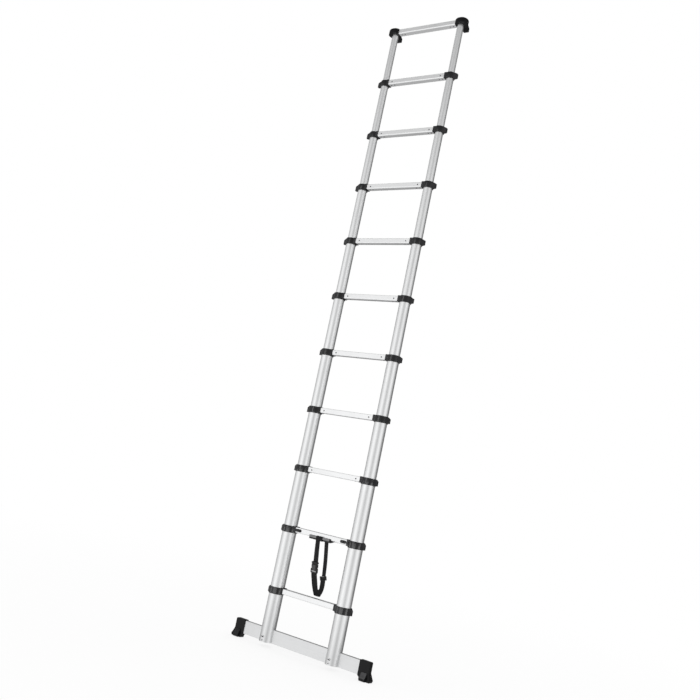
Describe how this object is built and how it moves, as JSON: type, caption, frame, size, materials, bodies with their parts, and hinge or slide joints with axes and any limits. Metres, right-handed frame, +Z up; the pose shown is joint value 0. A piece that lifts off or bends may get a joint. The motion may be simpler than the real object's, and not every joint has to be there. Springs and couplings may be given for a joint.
{
  "type": "telescoping ladder",
  "caption": "Telescoping ladder of nested round aluminium tubes with locking rung collars, a cross bar with rubber feet, capped tops and a hanging carry strap.",
  "frame": {"origin": "on the floor, midway between the feet and midway through the ladder's depth", "axes": "+X along the rungs to the climber's right, +Y towards the wall, +Z up along the tubes; the ladder stands extended and upright"},
  "size_m": [0.802, 0.0932, 3.178],
  "materials": {
    "tube_metal": "satin anodised",
    "rung_metal": "matt anodised",
    "collar_plastic": "fine moulded grain",
    "foot_rubber": "matt",
    "cap_rubber": "matt",
    "pin_steel": "zinc plated",
    "button_plastic": "satin",
    "strap_webbing": "woven webbing",
    "strap_plastic": "satin"
  },
  "bodies": {
    "base": {"base_tubes": "tube_metal", "stabiliser_bar": "rung_metal", "foot_left": "foot_rubber", "foot_right": "foot_rubber", "bar_bolts": "pin_steel", "rung_1": "rung_metal", "rung_2": "rung_metal", "rung_1_collars": "collar_plastic", "rung_2_collars": "collar_plastic", "strap_holder": "strap_plastic"},
    "section_3": {"section_3_tubes": "tube_metal", "rung_3": "rung_metal", "rung_3_collars": "collar_plastic"},
    "section_4": {"section_4_tubes": "tube_metal", "rung_4": "rung_metal", "rung_4_collars": "collar_plastic"},
    "section_5": {"section_5_tubes": "tube_metal", "rung_5": "rung_metal", "rung_5_collars": "collar_plastic"},
    "section_6": {"section_6_tubes": "tube_metal", "rung_6": "rung_metal", "rung_6_collars": "collar_plastic"},
    "section_7": {"section_7_tubes": "tube_metal", "rung_7": "rung_metal", "rung_7_collars": "collar_plastic"},
    "section_8": {"section_8_tubes": "tube_metal", "rung_8": "rung_metal", "rung_8_collars": "collar_plastic"},
    "section_9": {"section_9_tubes": "tube_metal", "rung_9": "rung_metal", "rung_9_collars": "collar_plastic"},
    "section_10": {"section_10_tubes": "tube_metal", "rung_10": "rung_metal", "rung_10_collars": "collar_plastic"},
    "section_11": {"section_11_tubes": "tube_metal", "rung_11": "rung_metal", "top_caps": "cap_rubber"},
    "release_button_left": {"release_button_left": "button_plastic"},
    "release_button_right": {"release_button_right": "button_plastic"},
    "lock_pin_2_left": {"rung_2_lock_pin_left": "pin_steel"},
    "lock_pin_2_right": {"rung_2_lock_pin_right": "pin_steel"},
    "lock_pin_3_left": {"rung_3_lock_pin_left": "pin_steel"},
    "lock_pin_3_right": {"rung_3_lock_pin_right": "pin_steel"},
    "lock_pin_4_left": {"rung_4_lock_pin_left": "pin_steel"},
    "lock_pin_4_right": {"rung_4_lock_pin_right": "pin_steel"},
    "lock_pin_5_left": {"rung_5_lock_pin_left": "pin_steel"},
    "lock_pin_5_right": {"rung_5_lock_pin_right": "pin_steel"},
    "lock_pin_6_left": {"rung_6_lock_pin_left": "pin_steel"},
    "lock_pin_6_right": {"rung_6_lock_pin_right": "pin_steel"},
    "lock_pin_7_left": {"rung_7_lock_pin_left": "pin_steel"},
    "lock_pin_7_right": {"rung_7_lock_pin_right": "pin_steel"},
    "lock_pin_8_left": {"rung_8_lock_pin_left": "pin_steel"},
    "lock_pin_8_right": {"rung_8_lock_pin_right": "pin_steel"},
    "lock_pin_9_left": {"rung_9_lock_pin_left": "pin_steel"},
    "lock_pin_9_right": {"rung_9_lock_pin_right": "pin_steel"},
    "lock_pin_10_left": {"rung_10_lock_pin_left": "pin_steel"},
    "lock_pin_10_right": {"rung_10_lock_pin_right": "pin_steel"},
    "carry_strap": {"strap_webbing": "strap_webbing", "strap_buckle": "strap_plastic", "strap_slider": "strap_plastic"}
  },
  "joints": [
    {"name": "section_3_slide", "type": "slide", "parent": "base", "child": "section_3", "axis": [0, 0, 1], "range_m": [-0.256, 0], "stiffness_N_per_m": 5, "springref_m": 14.2},
    {"name": "section_4_slide", "type": "slide", "parent": "section_3", "child": "section_4", "axis": [0, 0, 1], "range_m": [-0.256, 0], "stiffness_N_per_m": 5, "springref_m": 12.5},
    {"name": "section_5_slide", "type": "slide", "parent": "section_4", "child": "section_5", "axis": [0, 0, 1], "range_m": [-0.256, 0], "stiffness_N_per_m": 5, "springref_m": 10.8},
    {"name": "section_6_slide", "type": "slide", "parent": "section_5", "child": "section_6", "axis": [0, 0, 1], "range_m": [-0.256, 0], "stiffness_N_per_m": 5, "springref_m": 9.3},
    {"name": "section_7_slide", "type": "slide", "parent": "section_6", "child": "section_7", "axis": [0, 0, 1], "range_m": [-0.256, 0], "stiffness_N_per_m": 5, "springref_m": 7.8},
    {"name": "section_8_slide", "type": "slide", "parent": "section_7", "child": "section_8", "axis": [0, 0, 1], "range_m": [-0.256, 0], "stiffness_N_per_m": 5, "springref_m": 6.4},
    {"name": "section_9_slide", "type": "slide", "parent": "section_8", "child": "section_9", "axis": [0, 0, 1], "range_m": [-0.256, 0], "stiffness_N_per_m": 5, "springref_m": 5},
    {"name": "section_10_slide", "type": "slide", "parent": "section_9", "child": "section_10", "axis": [0, 0, 1], "range_m": [-0.256, 0], "stiffness_N_per_m": 5, "springref_m": 3.7},
    {"name": "section_11_slide", "type": "slide", "parent": "section_10", "child": "section_11", "axis": [0, 0, 1], "range_m": [-0.256, 0], "stiffness_N_per_m": 5, "springref_m": 2.5},
    {"name": "release_left", "type": "slide", "parent": "base", "child": "release_button_left", "axis": [-1, 0, 0], "range_m": [0, 0.008]},
    {"name": "release_right", "type": "slide", "parent": "base", "child": "release_button_right", "axis": [1, 0, 0], "range_m": [0, 0.008]},
    {"name": "lock_2_left", "type": "slide", "parent": "base", "child": "lock_pin_2_left", "axis": [-1, 0, 0], "range_m": [0, 0.008]},
    {"name": "lock_2_right", "type": "slide", "parent": "base", "child": "lock_pin_2_right", "axis": [1, 0, 0], "range_m": [0, 0.008]},
    {"name": "lock_3_left", "type": "slide", "parent": "section_3", "child": "lock_pin_3_left", "axis": [-1, 0, 0], "range_m": [0, 0.008]},
    {"name": "lock_3_right", "type": "slide", "parent": "section_3", "child": "lock_pin_3_right", "axis": [1, 0, 0], "range_m": [0, 0.008]},
    {"name": "lock_4_left", "type": "slide", "parent": "section_4", "child": "lock_pin_4_left", "axis": [-1, 0, 0], "range_m": [0, 0.008]},
    {"name": "lock_4_right", "type": "slide", "parent": "section_4", "child": "lock_pin_4_right", "axis": [1, 0, 0], "range_m": [0, 0.008]},
    {"name": "lock_5_left", "type": "slide", "parent": "section_5", "child": "lock_pin_5_left", "axis": [-1, 0, 0], "range_m": [0, 0.008]},
    {"name": "lock_5_right", "type": "slide", "parent": "section_5", "child": "lock_pin_5_right", "axis": [1, 0, 0], "range_m": [0, 0.008]},
    {"name": "lock_6_left", "type": "slide", "parent": "section_6", "child": "lock_pin_6_left", "axis": [-1, 0, 0], "range_m": [0, 0.008]},
    {"name": "lock_6_right", "type": "slide", "parent": "section_6", "child": "lock_pin_6_right", "axis": [1, 0, 0], "range_m": [0, 0.008]},
    {"name": "lock_7_left", "type": "slide", "parent": "section_7", "child": "lock_pin_7_left", "axis": [-1, 0, 0], "range_m": [0, 0.008]},
    {"name": "lock_7_right", "type": "slide", "parent": "section_7", "child": "lock_pin_7_right", "axis": [1, 0, 0], "range_m": [0, 0.008]},
    {"name": "lock_8_left", "type": "slide", "parent": "section_8", "child": "lock_pin_8_left", "axis": [-1, 0, 0], "range_m": [0, 0.008]},
    {"name": "lock_8_right", "type": "slide", "parent": "section_8", "child": "lock_pin_8_right", "axis": [1, 0, 0], "range_m": [0, 0.008]},
    {"name": "lock_9_left", "type": "slide", "parent": "section_9", "child": "lock_pin_9_left", "axis": [-1, 0, 0], "range_m": [0, 0.008]},
    {"name": "lock_9_right", "type": "slide", "parent": "section_9", "child": "lock_pin_9_right", "axis": [1, 0, 0], "range_m": [0, 0.008]},
    {"name": "lock_10_left", "type": "slide", "parent": "section_10", "child": "lock_pin_10_left", "axis": [-1, 0, 0], "range_m": [0, 0.008]},
    {"name": "lock_10_right", "type": "slide", "parent": "section_10", "child": "lock_pin_10_right", "axis": [1, 0, 0], "range_m": [0, 0.008]},
    {"name": "carry_strap_swing", "type": "hinge", "parent": "base", "child": "carry_strap", "pos_m": [0, -0.0164, 0.529], "axis": [1, 0, 0], "range_deg": [-60, 40]}
  ],
  "couplings": [
    {"joint": "lock_2_left", "follows": "release_left", "ratio": 1},
    {"joint": "lock_2_right", "follows": "release_right", "ratio": 1},
    {"joint": "lock_3_right", "follows": "lock_3_left", "ratio": 1},
    {"joint": "lock_4_right", "follows": "lock_4_left", "ratio": 1},
    {"joint": "lock_5_right", "follows": "lock_5_left", "ratio": 1},
    {"joint": "lock_6_right", "follows": "lock_6_left", "ratio": 1},
    {"joint": "lock_7_right", "follows": "lock_7_left", "ratio": 1},
    {"joint": "lock_8_right", "follows": "lock_8_left", "ratio": 1},
    {"joint": "lock_9_right", "follows": "lock_9_left", "ratio": 1},
    {"joint": "lock_10_right", "follows": "lock_10_left", "ratio": 1}
  ]
}
